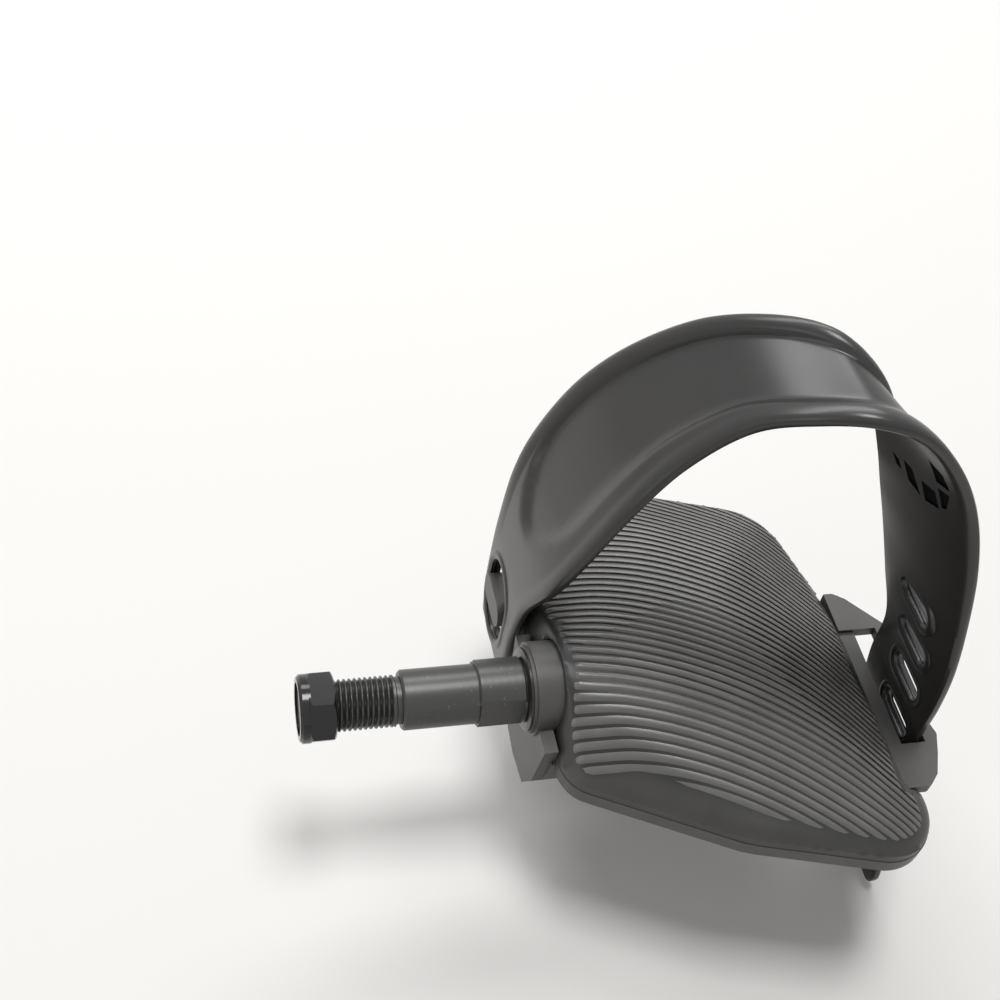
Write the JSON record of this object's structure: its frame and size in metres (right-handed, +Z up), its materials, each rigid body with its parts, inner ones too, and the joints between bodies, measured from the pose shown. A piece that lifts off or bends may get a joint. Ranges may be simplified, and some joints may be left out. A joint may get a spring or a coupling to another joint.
{
  "type": "exercise bike pedal",
  "caption": "Crowned foot-shaped pedal with a ribbed tread, an arched foot strap held in a side loop, and a threaded spindle with its nut on sealed ball bearings.",
  "frame": {"origin": "on the spindle axis, where the crank arm's outer face meets the wrench flats", "axes": "+X along the spindle away from the crank, +Z up out of the tread, -Y towards the front edge of the footbed"},
  "size_m": [0.1585, 0.1201, 0.1524],
  "materials": {
    "frame_plastic": "satin moulded",
    "tread": "matt, grooved",
    "strap": "satin",
    "spindle_steel": "black oxide",
    "nut_steel": "glossy black",
    "nylon": "semi-gloss",
    "seal": "semi-gloss",
    "bearing_steel": "ground",
    "cage_brass": "plain"
  },
  "bodies": {
    "spindle": {"spindle": "spindle_steel", "inner_race_a": "bearing_steel", "inner_race_b": "bearing_steel", "axle_washer": "bearing_steel", "axle_nut": "bearing_steel"},
    "pedal": {"pedal_frame": "frame_plastic", "pedal_deck": "frame_plastic", "tread_pad": "tread", "strap": "strap", "dust_seal": "seal", "bearing_clip": "bearing_steel", "outer_race_a": "bearing_steel", "outer_race_b": "bearing_steel", "bearing_shields_a": "bearing_steel", "bearing_shields_b": "bearing_steel", "end_cap": "frame_plastic"},
    "cage_a": {"bearing_cage_a": "cage_brass", "bearing_balls_a": "bearing_steel"},
    "cage_b": {"bearing_cage_b": "cage_brass", "bearing_balls_b": "bearing_steel"},
    "nut_slider": {"nut_insert": "nylon"},
    "nut": {"spindle_nut": "nut_steel"}
  },
  "joints": [
    {"name": "pedal_spin", "type": "hinge", "parent": "spindle", "child": "pedal", "pos_m": [0, 0, 0], "axis": [1, 0, 0], "continuous": true},
    {"name": "cage_a_spin", "type": "hinge", "parent": "spindle", "child": "cage_a", "pos_m": [0, 0, 0], "axis": [1, 0, 0], "continuous": true},
    {"name": "cage_b_spin", "type": "hinge", "parent": "spindle", "child": "cage_b", "pos_m": [0, 0, 0], "axis": [1, 0, 0], "continuous": true},
    {"name": "nut_travel", "type": "slide", "parent": "spindle", "child": "nut_slider", "axis": [1, 0, 0], "range_m": [-0.0124, 0.0155]},
    {"name": "nut_turn", "type": "hinge", "parent": "nut_slider", "child": "nut", "pos_m": [0, 0, 0], "axis": [1, 0, 0], "range_deg": [-3510, 4380]}
  ],
  "couplings": [
    {"joint": "cage_a_spin", "follows": "pedal_spin", "ratio": 0.61},
    {"joint": "cage_b_spin", "follows": "pedal_spin", "ratio": 0.616},
    {"joint": "nut_travel", "follows": "nut_turn", "m_per_rad": 0.00020213}
  ]
}
